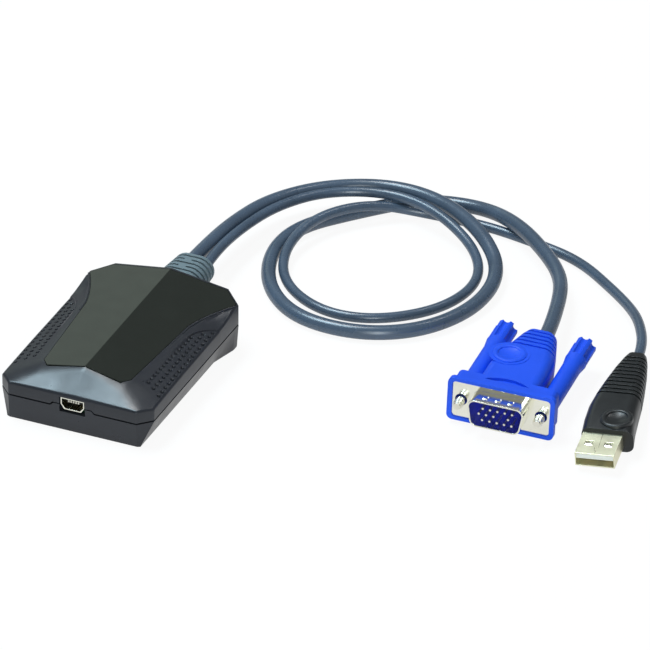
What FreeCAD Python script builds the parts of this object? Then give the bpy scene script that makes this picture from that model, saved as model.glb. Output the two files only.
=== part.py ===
import FreeCAD
import Part
import math
import os
import re
from types import SimpleNamespace

# Crash cart adapter: a small ridged housing with a mini socket in its front wall,
# and two cords at its rear that end in a video plug and a flat USB plug.
# Millimetres. Origin at the middle of the housing's underside, +X to the right
# seen from the socket, +Y towards the cords, +Z up.

Vec = FreeCAD.Vector

SIZES = {
    # housing outline and heights
    "housing_width": 50.0,
    "housing_length": 71.0,
    "front_chamfer": 4.0,
    "rear_chamfer": 6.0,
    "parting_height": 7.8,
    "front_wall_top": 12.3,
    "ridge_front_inset": 9.2,
    "ridge_front_height": 17.9,
    "ridge_rear_height": 18.9,
    "roof_fall": 0.15,
    "bevel_side_slope": 0.31,
    "recess_front_height": 12.2,
    "recess_rear_height": 14.1,
    "recess_slope": 0.316,
    "wall": 2.2,
    "cavity_side_wall": 5.6,
    "ceiling_height": 12.4,
    "floor_thickness": 2.0,
    # draft of the lower half
    "floor_front_draft": 0.4,
    "floor_side_draft": 3.1,
    "floor_rear_draft": 0.6,
    "flare_start_inset": 17.5,
    "flare_end_inset": 8.5,
    # panel let into the roof
    "panel_front_half": 12.15,
    "panel_front_inset": 8.1,
    "panel_shoulder_half": 14.4,
    "panel_shoulder_inset": 10.9,
    "panel_waist_half": 17.0,
    "panel_waist_inset": 25.3,
    "panel_sweep_half": 20.05,
    "panel_sweep_inset": 16.0,
    "panel_side_margin": 0.6,
    "panel_flare_inset": 7.3,
    "panel_chamfer_margin": 1.0,
    "panel_rear_inset": 1.2,
    "panel_thickness": 1.2,
    "panel_gap": 0.15,
    "panel_lip": 0.35,
    # parting line stepped up around the socket
    "tab_half": 6.2,
    "tab_rise": 1.0,
    "tab_slope_run": 1.0,
    # screws and their posts
    "post_side_inset": 8.2,
    "post_front_inset": 7.0,
    "post_rear_inset": 7.0,
    "post_diameter": 6.0,
    "screw_diameter": 2.0,
    "screw_reach": 3.6,
    "screw_clearance": 0.2,
    "screw_head_diameter": 3.8,
    "screw_head_height": 1.4,
    "screw_head_depth": 1.0,
    "screw_head_clearance": 0.2,
    "screw_cross_width": 0.6,
    "screw_cross_depth": 0.7,
    "screw_cross_span": 2.4,
    # board and its parts
    "board_side_gap": 2.4,
    "board_front_inset": 2.6,
    "board_rear_inset": 7.5,
    "board_thickness": 1.6,
    "board_top": 7.3,
    "board_gap": 0.5,
    "board_rest_inset": 5.0,
    "board_rest_width": 1.6,
    "board_rest_length": 40.0,
    "main_chip_size": 14.0,
    "main_chip_height": 1.4,
    "main_chip_y": -6.0,
    "memory_chip_width": 8.0,
    "memory_chip_length": 10.0,
    "memory_chip_height": 1.2,
    "memory_chip_x": 9.5,
    "memory_chip_y": 10.0,
    "crystal_width": 5.0,
    "crystal_length": 3.2,
    "crystal_height": 1.0,
    "crystal_x": -11.5,
    "crystal_y": -7.0,
    "capacitor_diameter": 4.0,
    "capacitor_height": 4.2,
    "capacitor_x": -10.0,
    "capacitor_y": 4.0,
    "capacitor_pitch": 5.5,
    "header_height": 4.4,
    "header_length": 5.0,
    "vga_header_width": 5.6,
    "usb_header_width": 4.6,
    "header_inset": 13.5,
    "vga_lead_diameter": 3.4,
    "usb_lead_diameter": 2.4,
    # mini socket
    "socket_width": 7.7,
    "socket_height": 3.9,
    "socket_depth": 9.2,
    "socket_setback": 0.3,
    "socket_skin": 0.35,
    "socket_side_height": 2.3,
    "socket_foot_width": 5.6,
    "socket_cut_side": 0.35,
    "socket_cut_below": 0.9,
    "socket_cut_above": 0.15,
    "socket_tongue_width": 4.8,
    "socket_tongue_height": 0.8,
    "socket_tongue_setback": 1.2,
    "socket_tongue_drop": 0.6,
    "socket_back_depth": 2.0,
    "socket_contact_width": 0.35,
    "socket_contact_height": 0.2,
    "socket_contact_pitch": 0.8,
    "socket_contact_setback": 0.3,
    # strain relief around both cords
    "boot_width": 15.0,
    "boot_height": 11.0,
    "boot_end_width": 12.5,
    "boot_end_height": 8.6,
    "boot_length": 18.3,
    "boot_height_centre": 9.4,
    "boot_neck_width": 11.0,
    "boot_neck_height": 4.6,
    "boot_flange_width": 14.0,
    "boot_flange_height": 5.8,
    "boot_flange_thickness": 1.6,
    "boot_end_round": 0.8,
    "slit_width": 0.9,
    "slit_pitch": 2.35,
    "slit_first": 2.4,
    "slit_depth": 1.5,
    "slit_bridge": 2.6,
    "slit_side": 4.4,
    # cords
    "vga_cord_diameter": 4.6,
    "usb_cord_diameter": 3.2,
    "vga_cord_x": -2.9,
    "usb_cord_x": 2.6,
    "vga_tail_run": 7.5,
    "usb_tail_run": 7.5,
    # video plug: where its flange lies, and its turn about the vertical and about its own length
    "vga_x": 115.8,
    "vga_y": 17.3,
    "vga_z": 7.85,
    "vga_yaw": 3.67,
    "vga_roll": 1.81,
    "rim_width": 33.5,
    "rim_height": 14.5,
    "rim_round": 1.8,
    "rim_lip": 0.5,
    "rim_depth": 1.4,
    "rim_back_step": 1.0,
    "rim_back_depth": 5.2,
    "flange_width": 30.6,
    "flange_height": 12.3,
    "flange_thickness": 0.8,
    "flange_round": 1.2,
    "dee_width": 18.3,
    "dee_height": 9.0,
    "dee_slant": 10.0,
    "dee_round": 2.4,
    "dee_depth": 5.9,
    "dee_skin": 0.5,
    "dee_bump": 1.5,
    "dee_bump_rise": 0.25,
    "dee_bump_pitch": 3.9,
    "dee_bump_setback": 1.9,
    "insulator_front": 0.4,
    "insulator_depth": 5.0,
    "pin_diameter": 0.7,
    "pin_pitch": 2.29,
    "pin_row": 1.98,
    "pin_reach": 5.4,
    "pin_root": 3.0,
    "jackscrew_half": 12.5,
    "jackscrew_hole": 3.7,
    "stud_diameter": 2.84,
    "stud_reach": 3.6,
    "stud_thread_length": 3.0,
    "stud_shank_diameter": 2.4,
    "stud_root": 14.0,
    "stud_tip_diameter": 2.2,
    "stud_tip_length": 0.7,
    "knob_gap": 0.4,
    "knob_diameter": 5.9,
    "knob_grip_diameter": 6.9,
    "knob_grip_length": 9.4,
    "knob_taper_length": 4.0,
    "knob_end": 43.2,
    "flute_diameter": 2.4,
    "flute_depth": 0.9,
    "hood_half": 9.2,
    "hood_height": 12.6,
    "hood_length": 38.2,
    "hood_ring_x": -4.4,
    "hood_ring_y": 20.5,
    "hood_ring_diameter": 10.4,
    "hood_pad_diameter": 12.6,
    "hood_pad_foot": 8.8,
    "hood_pad_depth": 3.2,
    "hood_pad_rise": 0.15,
    "hood_scoop_half": 6.9,
    "hood_scoop_front": 4.4,
    "hood_scoop_rear": 6.7,
    "hood_scoop_depth": 0.9,
    "hood_groove_first": 27.2,
    "hood_groove_pitch": 2.2,
    "groove_width": 0.8,
    "groove_depth": 0.5,
    "ring_width": 1.1,
    "ring_rise": 0.25,
    "ring_dish": 0.6,
    # flat USB plug: where the lower front edge of its shell lies, and its turns
    "usb_x": 149.81,
    "usb_y": 7.35,
    "usb_z": 1.8,
    "usb_yaw": 7.66,
    "usb_tilt": 3.4,
    "usb_roll": -3.98,
    "plug_width": 12.0,
    "plug_height": 4.5,
    "plug_length": 18.75,
    "plug_show": 11.0,
    "plug_skin": 0.35,
    "plug_window": 2.3,
    "plug_window_x": 2.95,
    "plug_window_y": 5.6,
    "plug_tongue_height": 1.8,
    "plug_tongue_setback": 0.5,
    "plug_contact_width": 1.2,
    "plug_contact_pitch": 2.2,
    "plug_contact_height": 0.2,
    "plug_contact_setback": 1.0,
    "grip_half": 7.6,
    "grip_height": 8.8,
    "grip_length": 43.2,
    "grip_ring_x": 3.0,
    "grip_ring_y": 16.4,
    "grip_ring_diameter": 9.8,
    "grip_groove_first": 29.4,
    "grip_groove_pitch": 2.1,
}
# sections along each grip: shares of its length, half width and height, corner radius, shift sideways
HOOD_SECTIONS = (
    (0.0, 1.0, 1.0, 2.6, 0.0), (0.37, 1.0, 1.0, 2.8, 0.0), (0.61, 0.945, 1.0, 3.4, 0.0),
    (0.78, 0.785, 0.985, 3.8, 0.0), (0.93, 0.63, 0.95, 3.4, 0.0), (1.0, 0.545, 0.89, 3.2, 0.0),
)
GRIP_SECTIONS = (
    (0.0, 1.04, 0.86, 2.6, 1.3), (0.14, 1.02, 0.98, 3.0, 0.5), (0.3, 1.0, 1.0, 3.2, 0.0),
    (0.46, 0.93, 0.98, 3.2, 0.0), (0.625, 0.81, 0.91, 3.0, 0.0), (0.81, 0.65, 0.8, 2.7, 0.0),
    (0.95, 0.49, 0.68, 2.4, 0.0), (1.0, 0.4, 0.6, 2.0, 0.0),
)
HOOD_GROOVES = 5
GRIP_GROOVES = 11
FLUTES = 6
SLITS = 6

doc = FreeCAD.newDocument("crash_cart_adapter")
sheet = doc.addObject("Spreadsheet::Sheet", "Sizes")
for row, (alias, value) in enumerate(SIZES.items(), 1):
    sheet.set(f"A{row}", alias)
    sheet.set(f"B{row}", str(value))
    sheet.setAlias(f"B{row}", alias)
doc.recompute()
dim = SimpleNamespace(**{alias: float(sheet.get(alias)) for alias in SIZES})

parts = []


def bind(item, **expressions):
    """Tie properties to cells; a double underscore stands for the dot of a property's path."""
    for path, text in expressions.items():
        cells = re.sub(r"\b([a-z][a-z_]+)\b", r"Sizes.\1", text)
        item.setExpression(path.replace("__", "."), cells)
    return item


def block(name, length, width, height, x, y, z):
    item = doc.addObject("Part::Box", name)
    bind(item, Length=length, Width=width, Height=height)
    return bind(item, Placement__Base__x=x, Placement__Base__y=y, Placement__Base__z=z)


def rod(name, radius, height, x, y, z, along_y=False):
    item = doc.addObject("Part::Cylinder", name)
    if along_y:
        item.Placement = FreeCAD.Placement(Vec(), FreeCAD.Rotation(Vec(1, 0, 0), -90))
    bind(item, Radius=radius, Height=height)
    return bind(item, Placement__Base__x=x, Placement__Base__y=y, Placement__Base__z=z)


def cone(name, start_radius, end_radius, height, x, y, z):
    item = doc.addObject("Part::Cone", name)
    item.Placement = FreeCAD.Placement(Vec(), FreeCAD.Rotation(Vec(1, 0, 0), -90))
    bind(item, Radius1=start_radius, Radius2=end_radius, Height=height)
    return bind(item, Placement__Base__x=x, Placement__Base__y=y, Placement__Base__z=z)


def fuse(name, items):
    item = doc.addObject("Part::MultiFuse", name)
    item.Shapes = items
    return item


def cut(name, base, tool):
    item = doc.addObject("Part::Cut", name)
    item.Base = base
    item.Tool = tool
    return item


def shaped(name, shape, placement=None):
    item = doc.addObject("Part::Feature", name)
    item.Shape = shape
    if placement:
        item.Placement = placement
    return item


def piece(item, label, placement=None):
    item.Label = label
    if placement:
        item.Placement = placement
    parts.append(item)
    return item


def outline(points):
    return Part.Face(Part.makePolygon(points + points[:1]))


def mirrored(half):
    """Close a half outline, given at x > 0 from front to rear, across the middle plane."""
    return half + [(-x, y) for x, y in reversed(half)]


def prism(points, low, high):
    return outline([Vec(x, y, low) for x, y in points]).extrude(Vec(0, 0, high - low))


def bar(x_low, x_high, y_low, y_high, z_low, z_high):
    return Part.makeBox(x_high - x_low, y_high - y_low, z_high - z_low, Vec(x_low, y_low, z_low))


def above(corners, height):
    """Solid over a flat polygon in space, for cutting everything above it away."""
    return outline(corners).extrude(Vec(0, 0, height))


# Housing: plan outline and the surfaces of the roof
half_width = dim.housing_width / 2
front = -dim.housing_length / 2
rear = dim.housing_length / 2
side_front = front + dim.front_chamfer
side_rear = rear - dim.rear_chamfer
panel_flare_half = half_width - dim.panel_side_margin
rear_half = half_width - dim.rear_chamfer
plan_half = [
    (half_width - dim.front_chamfer, front),
    (half_width, side_front),
    (half_width, side_rear),
    (rear_half, rear),
]
ridge_y = front + dim.ridge_front_inset
ridge_rise = (dim.ridge_rear_height - dim.ridge_front_height) / (rear - ridge_y)
beyond = dim.housing_length
tall = dim.housing_length


def roof_at(x, y):
    return dim.ridge_front_height + ridge_rise * (y - ridge_y) - dim.roof_fall * abs(x)


def recess_at(x, y):
    run = (dim.recess_rear_height - dim.recess_front_height) / (side_rear - side_front)
    return dim.recess_front_height + run * (y - side_front) + dim.recess_slope * (half_width - abs(x))


def over(surface, corners):
    return above([Vec(x, y, surface(x, y)) for x, y in corners], tall)


def over_roof(side, drop=0.0):
    corners = [(0.0, -beyond), (side * beyond, -beyond), (side * beyond, beyond), (0.0, beyond)]
    return above([Vec(x, y, roof_at(x, y) - drop) for x, y in corners], tall)


def bevel_section(x, slope):
    """Section of the cutter over the front bevel; the slope eases from the ridge to the sides."""
    low = Vec(x, front - half_width, dim.front_wall_top - slope * half_width)
    high = Vec(x, front + half_width, dim.front_wall_top + slope * half_width)
    return Part.makePolygon([low, high, high + Vec(0, 0, tall), low + Vec(0, 0, tall), low])


def panel_edge(offset, reach):
    """Right edge of the panel from its shoulder to its rear flare, moved outward by an offset."""
    shoulder = Vec(dim.panel_shoulder_half + offset, front + dim.panel_shoulder_inset, 0)
    waist = Vec(dim.panel_waist_half + offset, rear - dim.panel_waist_inset, 0)
    sweep = Vec(dim.panel_sweep_half + offset, rear - dim.panel_sweep_inset, 0)
    flare = Vec(panel_flare_half + offset, rear - dim.panel_flare_inset, 0)
    start = shoulder + (shoulder - waist) * reach
    return start, waist, sweep, flare


def panel_face():
    front_y = front + dim.panel_front_inset
    rear_y = rear - dim.panel_rear_inset
    rear_x = half_width + side_rear - dim.panel_chamfer_margin - rear_y
    corner_y = rear_y + rear_x - panel_flare_half
    shoulder, waist, sweep, flare = panel_edge(0.0, 0.0)
    nose = Vec(0, ridge_y, 0)
    right = [Vec(dim.panel_front_half, front_y, 0), shoulder, waist]
    back = [flare, Vec(panel_flare_half, corner_y, 0), Vec(rear_x, rear_y, 0)]
    half = [Part.makePolygon([nose] + right).Edges, [Part.Arc(waist, sweep, flare).toShape()]]
    half.append(Part.makePolygon(back + [Vec(0, rear_y, 0)]).Edges)
    right_edges = [edge for group in half for edge in group]
    left_edges = [edge.mirror(Vec(), Vec(1, 0, 0)) for edge in right_edges]
    return Part.Face(Part.Wire(Part.__sortEdges__(right_edges + left_edges)))


def recess_cutter():
    start, waist, sweep, flare = panel_edge(dim.panel_lip, 1.0)
    out = half_width + dim.panel_flare_inset
    outer = [flare, Vec(out, flare.y, 0), Vec(out, start.y, 0), start, waist]
    edges = [Part.Arc(waist, sweep, flare).toShape()] + Part.makePolygon(outer).Edges
    region = Part.Face(Part.Wire(Part.__sortEdges__(edges))).extrude(Vec(0, 0, tall))
    corners = [(0.0, -beyond), (beyond, -beyond), (beyond, beyond), (0.0, beyond)]
    return region.common(over(recess_at, corners))


def both_sides(shape):
    return [shape, shape.mirror(Vec(), Vec(1, 0, 0))]


centre_slope = (dim.ridge_front_height - dim.front_wall_top) / dim.ridge_front_inset
bevel_cutters = [
    Part.makeLoft([bevel_section(0, centre_slope), bevel_section(side * half_width, dim.bevel_side_slope)],
                  True, True)
    for side in (1, -1)
]
roof_cutters = [over_roof(1), over_roof(-1)]

# Spaces and posts shared by both halves
cavity_half = half_width - dim.cavity_side_wall
cavity_front = front + dim.wall
cavity_rear = rear - dim.wall
post_half = half_width - dim.post_side_inset
posts = [
    (side * post_half, y)
    for side in (1, -1)
    for y in (front + dim.post_front_inset, rear - dim.post_rear_inset)
]
socket_low = dim.board_top
socket_cut_half = dim.socket_width / 2 + dim.socket_cut_side
socket_cut = bar(-socket_cut_half, socket_cut_half, front - dim.wall, cavity_front + dim.wall,
                 socket_low - dim.socket_cut_below,
                 socket_low + dim.socket_height + dim.socket_cut_above)
neck_half = dim.boot_neck_width / 2
neck_low = dim.boot_height_centre - dim.boot_neck_height / 2
neck_cut = bar(-neck_half, neck_half, cavity_rear, rear, neck_low, neck_low + dim.boot_neck_height)
tab = outline([
    Vec(-dim.tab_half - dim.tab_slope_run, front, dim.parting_height),
    Vec(-dim.tab_half, front, dim.parting_height + dim.tab_rise),
    Vec(dim.tab_half, front, dim.parting_height + dim.tab_rise),
    Vec(dim.tab_half + dim.tab_slope_run, front, dim.parting_height),
]).extrude(Vec(0, dim.wall, 0))


def post(x, y, low, high, diameter):
    return Part.makeCylinder(diameter / 2, high - low, Vec(x, y, low))


# Upper half: ridged roof, front bevel, thumb recesses at the sides, bed for the panel
pocket = panel_face().extrude(Vec(0, 0, tall))
bed = pocket.common(over_roof(1, dim.panel_thickness).fuse(over_roof(-1, dim.panel_thickness)))
shell_top = prism(mirrored(plan_half), dim.parting_height, dim.parting_height + tall / 2)
shell_top = shell_top.cut(roof_cutters + bevel_cutters + both_sides(recess_cutter()))
cover_space = bar(-cavity_half, cavity_half, cavity_front, cavity_rear, 0, dim.ceiling_height)
top_cover = shell_top.cut([bed, cover_space])
screw_top = dim.parting_height + dim.screw_reach
for x, y in posts:
    top_post = post(x, y, dim.parting_height, dim.ceiling_height, dim.post_diameter)
    top_cover = top_cover.fuse(top_post)
for x, y in posts:
    top_cover = top_cover.cut(post(x, y, dim.parting_height, screw_top, dim.screw_diameter))
top_cover = top_cover.cut([socket_cut, neck_cut, tab]).removeSplitter()
piece(shaped("TopCover", top_cover), "top_cover")

# Panel: a plate that follows the roof, with a thin gap all round
plate = panel_face().makeOffset2D(-dim.panel_gap).extrude(Vec(0, 0, tall))
plate = plate.common(over_roof(1, dim.panel_thickness).fuse(over_roof(-1, dim.panel_thickness)))
plate = plate.cut(roof_cutters + bevel_cutters).removeSplitter()
piece(shaped("TopPanel", plate), "top_panel")

# Lower half: walls that draw in towards the floor and flare out again near the rear
flare_start = rear - dim.flare_start_inset
flare_end = rear - dim.flare_end_inset
case_plan = plan_half[:2] + [(half_width, flare_start), (half_width, flare_end)] + plan_half[2:]
floor_half = half_width - dim.floor_side_draft
floor_flare = half_width - dim.floor_rear_draft
floor_plan = [
    (half_width - dim.front_chamfer, front + dim.floor_front_draft),
    (floor_half, front + 2 * dim.floor_front_draft),
    (floor_half, flare_start),
    (floor_flare, flare_end),
    (floor_flare, side_rear),
    (rear_half, rear - dim.floor_rear_draft),
]


def ring(half, z):
    points = [Vec(x, y, z) for x, y in mirrored(half)]
    return Part.makePolygon(points + points[:1])


bottom = Part.makeLoft([ring(floor_plan, 0.0), ring(case_plan, dim.parting_height)], True, True)
bottom = bottom.fuse(tab)
bottom = bottom.cut(bar(-cavity_half, cavity_half, cavity_front, cavity_rear, dim.floor_thickness, tall))
head_top = dim.screw_head_depth + dim.screw_head_height
hole = dim.screw_diameter + 2 * dim.screw_clearance
counterbore = dim.screw_head_diameter + 2 * dim.screw_head_clearance
for x, y in posts:
    bottom = bottom.fuse(post(x, y, dim.floor_thickness / 2, dim.parting_height, dim.post_diameter))
for x, y in posts:
    bottom = bottom.cut([post(x, y, 0, dim.parting_height, hole), post(x, y, 0, head_top, counterbore)])
rest_low = dim.floor_thickness / 2
rest_high = dim.board_top - dim.board_thickness
board_rest_half = cavity_half - dim.board_side_gap - dim.board_rest_inset
for middle in (board_rest_half, -board_rest_half):
    rest_edge = middle - dim.board_rest_width / 2
    bottom = bottom.fuse(bar(rest_edge, rest_edge + dim.board_rest_width,
                             -dim.board_rest_length / 2, dim.board_rest_length / 2, rest_low, rest_high))
bottom = bottom.cut([socket_cut, neck_cut]).removeSplitter()
piece(shaped("BottomCase", bottom), "bottom_case")


def screw(x, y):
    head = post(x, y, dim.screw_head_depth, head_top, dim.screw_head_diameter)
    shank = post(x, y, head_top, screw_top, dim.screw_diameter)
    span = dim.screw_cross_span / 2
    slot = dim.screw_cross_width / 2
    slot_top = dim.screw_head_depth + dim.screw_cross_depth
    cross = [bar(x - span, x + span, y - slot, y + slot, 0, slot_top)]
    cross.append(bar(x - slot, x + slot, y - span, y + span, 0, slot_top))
    return head.fuse(shank).cut(cross)


piece(shaped("CaseScrews", Part.makeCompound([screw(x, y) for x, y in posts])), "case_screws")

# Board between the halves, cut round the screw posts
board_low = "board_top - board_thickness"
board_half = "(housing_width / 2 - cavity_side_wall - board_side_gap)"
board_slab = block("BoardSlab", f"2 * {board_half}", "housing_length - board_front_inset - board_rear_inset",
                   "board_thickness", f"-{board_half}", "-housing_length / 2 + board_front_inset", board_low)
notches = []
for side in ("post_side_inset - housing_width / 2", "housing_width / 2 - post_side_inset"):
    for y in ("-housing_length / 2 + post_front_inset", "housing_length / 2 - post_rear_inset"):
        notches.append(rod(f"BoardNotch{len(notches)}", "post_diameter / 2 + board_gap",
                           "board_thickness", side, y, board_low))
piece(cut("CircuitBoard", board_slab, fuse("BoardNotches", notches)), "circuit_board")
piece(block("MainChip", "main_chip_size", "main_chip_size", "main_chip_height",
            "-main_chip_size / 2", "main_chip_y - main_chip_size / 2", "board_top"), "main_chip")
piece(block("MemoryChip", "memory_chip_width", "memory_chip_length", "memory_chip_height",
            "memory_chip_x - memory_chip_width / 2", "memory_chip_y - memory_chip_length / 2",
            "board_top"), "memory_chip")
piece(block("Crystal", "crystal_width", "crystal_length", "crystal_height",
            "crystal_x - crystal_width / 2", "crystal_y - crystal_length / 2", "board_top"), "crystal")
capacitors = [
    rod(f"Capacitor{step}", "capacitor_diameter / 2", "capacitor_height", "capacitor_x",
        f"capacitor_y + {step} * capacitor_pitch", "board_top")
    for step in range(2)
]
piece(fuse("Capacitors", capacitors), "capacitors")
for name in ("vga", "usb"):
    middle = f"{name}_cord_x"
    header_front = "housing_length / 2 - header_inset - header_length / 2"
    header_rear = f"{header_front} + header_length"
    piece(block(f"{name}Header", f"{name}_header_width", "header_length", "header_height",
                f"{middle} - {name}_header_width / 2", header_front, "board_top"),
          f"{name}_header")
    flange_front = "housing_length / 2 - wall - boot_flange_thickness"
    piece(rod(f"{name}Leads", f"{name}_lead_diameter / 2", f"{flange_front} - ({header_rear})",
              middle, header_rear, "boot_height_centre", True), f"{name}_leads")

# Mini socket: a thin shell with slanted lower corners, a tongue and five contacts
socket_front = front + dim.socket_setback


def socket_section(inset):
    half = dim.socket_width / 2 - inset
    foot = dim.socket_foot_width / 2 - inset
    low = socket_low + inset
    top = socket_low + dim.socket_height - inset
    knee = socket_low + dim.socket_height - dim.socket_side_height
    right = [Vec(foot, socket_front, low), Vec(half, socket_front, knee), Vec(half, socket_front, top)]
    return outline(right + [Vec(-p.x, p.y, p.z) for p in reversed(right)])


socket_shell = socket_section(0).extrude(Vec(0, dim.socket_depth, 0))
socket_room = socket_section(dim.socket_skin).extrude(Vec(0, dim.socket_depth - dim.socket_skin, 0))
piece(shaped("MiniShell", socket_shell.cut(socket_room)), "mini_usb_shell")
block_front = socket_front + dim.socket_depth - dim.socket_skin - dim.socket_back_depth
socket_block = socket_section(dim.socket_skin)
socket_block.translate(Vec(0, block_front - socket_front, 0))
socket_block = socket_block.extrude(Vec(0, dim.socket_back_depth, 0))
tongue_half = dim.socket_tongue_width / 2
tongue_top = socket_low + dim.socket_height - dim.socket_skin - dim.socket_tongue_drop
tongue_front = socket_front + dim.socket_tongue_setback
tongue_low = tongue_top - dim.socket_tongue_height
socket_tongue = bar(-tongue_half, tongue_half, tongue_front, block_front, tongue_low, tongue_top)
piece(shaped("MiniTongue", socket_block.fuse(socket_tongue).removeSplitter()), "mini_usb_tongue")
contact_half = dim.socket_contact_width / 2
contacts = [
    bar(step * dim.socket_contact_pitch - contact_half, step * dim.socket_contact_pitch + contact_half,
        tongue_front + dim.socket_contact_setback, block_front,
        tongue_low - dim.socket_contact_height, tongue_low)
    for step in (-2, -1, 0, 1, 2)
]
piece(shaped("MiniContacts", Part.makeCompound(contacts)), "mini_usb_contacts")


# Strain relief: a tapered oval with slits, a neck through the rear wall and a flange inside
def oval(width, height, y):
    """Stadium of a given width and height, standing upright across the cords."""
    radius = height / 2
    reach = width / 2 - radius
    mid = dim.boot_height_centre
    low = mid - radius
    high = mid + radius
    return Part.Wire([
        Part.makeLine(Vec(-reach, y, low), Vec(reach, y, low)),
        Part.Arc(Vec(reach, y, low), Vec(reach + radius, y, mid), Vec(reach, y, high)).toShape(),
        Part.makeLine(Vec(reach, y, high), Vec(-reach, y, high)),
        Part.Arc(Vec(-reach, y, high), Vec(-reach - radius, y, mid), Vec(-reach, y, low)).toShape(),
    ])


def boot_loft(inset):
    return Part.makeLoft([
        oval(dim.boot_width - 2 * inset, dim.boot_height - 2 * inset, rear),
        oval(dim.boot_end_width - 2 * inset, dim.boot_end_height - 2 * inset, boot_end),
    ], True, True)


boot_end = rear + dim.boot_length
boot = boot_loft(0)
end_edges = [edge for edge in boot.Edges if abs(edge.BoundBox.YMin - boot_end) < dim.slit_width / 2]
boot = boot.makeFillet(dim.boot_end_round, end_edges)
boot_skin = boot_loft(-dim.slit_depth).cut(boot_loft(dim.slit_depth))
outside = dim.boot_width
mid_height = dim.boot_height_centre
for step in range(SLITS):
    slit_y = rear + dim.slit_first + step * dim.slit_pitch
    gap = (slit_y, slit_y + dim.slit_width, mid_height - outside, mid_height + outside)
    if step % 2:
        bridge = dim.slit_bridge / 2
        slabs = [bar(bridge, outside, *gap), bar(-outside, -bridge, *gap)]
    else:
        slabs = [bar(-dim.slit_side, dim.slit_side, *gap)]
    for slab in slabs:
        boot = boot.cut(slab.common(boot_skin))
flange_half = dim.boot_flange_width / 2
flange_low = mid_height - dim.boot_flange_height / 2
boot = boot.fuse(bar(-neck_half, neck_half, cavity_rear, rear, neck_low, neck_low + dim.boot_neck_height))
boot = boot.fuse(bar(-flange_half, flange_half, cavity_rear - dim.boot_flange_thickness, cavity_rear,
                     flange_low, flange_low + dim.boot_flange_height)).removeSplitter()
piece(shaped("CableBoot", boot), "cable_boot")


def rounded(half, height, radius, y, mid=0.0, shift=0.0):
    """Upright rectangle with rounded corners, across a plug at a distance y along it."""
    low = mid - height / 2
    high = mid + height / 2
    flat = half - radius
    nip = radius * (1 - math.sqrt(0.5))
    corners = [
        (Vec(flat, y, low), Vec(half - nip, y, low + nip), Vec(half, y, low + radius)),
        (Vec(half, y, high - radius), Vec(half - nip, y, high - nip), Vec(flat, y, high)),
        (Vec(-flat, y, high), Vec(nip - half, y, high - nip), Vec(-half, y, high - radius)),
        (Vec(-half, y, low + radius), Vec(nip - half, y, low + nip), Vec(-flat, y, low)),
    ]
    edges = []
    for number, corner in enumerate(corners):
        edges.append(Part.Arc(*corner).toShape())
        edges.append(Part.makeLine(corner[2], corners[(number + 1) % 4][0]))
    wire = Part.Wire(edges)
    wire.translate(Vec(shift, 0, 0))
    return wire


def slab_round(half, height, radius, y_low, y_high, mid=0.0):
    return Part.Face(rounded(half, height, radius, y_low, mid)).extrude(Vec(0, y_high - y_low, 0))


def tapered(sections, start, end, half, height, inset=0.0, mid=0.0):
    """Grip body through rounded sections between two distances along a plug, drawn in by an inset."""
    wires = [
        rounded(half * wide - inset, height * tall_share - 2 * inset, radius - inset,
                start + along * (end - start), mid, shift)
        for along, wide, tall_share, radius, shift in sections
    ]
    return Part.makeLoft(wires, True, True)


def grooved(grip_sizes, mid, first, pitch, count):
    """Grip body with ring grooves round its tail."""
    reach = 2 * grip_sizes[3]
    body = tapered(*grip_sizes, 0.0, mid)
    skin = tapered(*grip_sizes, -dim.groove_depth, mid).cut(tapered(*grip_sizes, dim.groove_depth, mid))
    for step in range(count):
        low = first + step * pitch
        groove = bar(-reach, reach, low, low + dim.groove_width, mid - reach, mid + reach)
        body = body.cut(groove.common(skin))
    return body


def thumb_ring(x, y, top, diameter):
    """Raised ring for the thumb on the upper face of a grip, and the dish within it."""
    disc = Part.makeCylinder(diameter / 2, 5 * dim.ring_rise, Vec(x, y, top - 4 * dim.ring_rise))
    dish_half = diameter / 2 - dim.ring_width
    dish_depth = dim.ring_dish + dim.ring_rise
    dish_radius = (dish_half ** 2 + dish_depth ** 2) / (2 * dish_depth)
    dish = Part.makeSphere(dish_radius, Vec(x, y, top - dim.ring_dish + dish_radius))
    return disc, dish


def dee(inset, y_low, y_high):
    """D outline of the video plug, wide side up, between two distances along the plug."""
    slant = dim.dee_height * math.tan(math.radians(dim.dee_slant)) / 2
    high = dim.dee_height / 2 - inset
    middle = dim.dee_width / 2 - slant - inset
    lean = slant * high / (dim.dee_height / 2)
    right = [Vec(middle - lean, y_low, -high), Vec(middle + lean, y_low, high)]
    solid = outline(right + [Vec(-p.x, p.y, p.z) for p in reversed(right)])
    solid = solid.extrude(Vec(0, y_high - y_low, 0))
    long_edges = [edge for edge in solid.Edges if edge.BoundBox.YLength > (y_high - y_low) / 2]
    return solid.makeFillet(dim.dee_round - inset, long_edges)


# Video plug, in its own frame: flange face at y = 0, cord at the far end
vga_turn = FreeCAD.Rotation(Vec(0, 0, 1), dim.vga_yaw) * FreeCAD.Rotation(Vec(0, 1, 0), dim.vga_roll)
vga_place = FreeCAD.Placement(Vec(dim.vga_x, dim.vga_y, dim.vga_z), vga_turn)
rim_back = dim.rim_depth + dim.rim_back_depth
hood_sizes = (HOOD_SECTIONS, dim.rim_depth, dim.hood_length, dim.hood_half, dim.hood_height)
hood = grooved(hood_sizes, 0.0, dim.hood_groove_first, dim.hood_groove_pitch, HOOD_GROOVES)
rim_half = dim.rim_width / 2
hood = hood.fuse(slab_round(rim_half, dim.rim_height, dim.rim_round, -dim.rim_lip, dim.rim_depth))
hood = hood.fuse(slab_round(rim_half - dim.rim_back_step, dim.rim_height - 2 * dim.rim_back_step,
                            dim.rim_round, dim.rim_depth, rim_back))
pad_top = dim.hood_height / 2 + dim.hood_pad_rise
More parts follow.
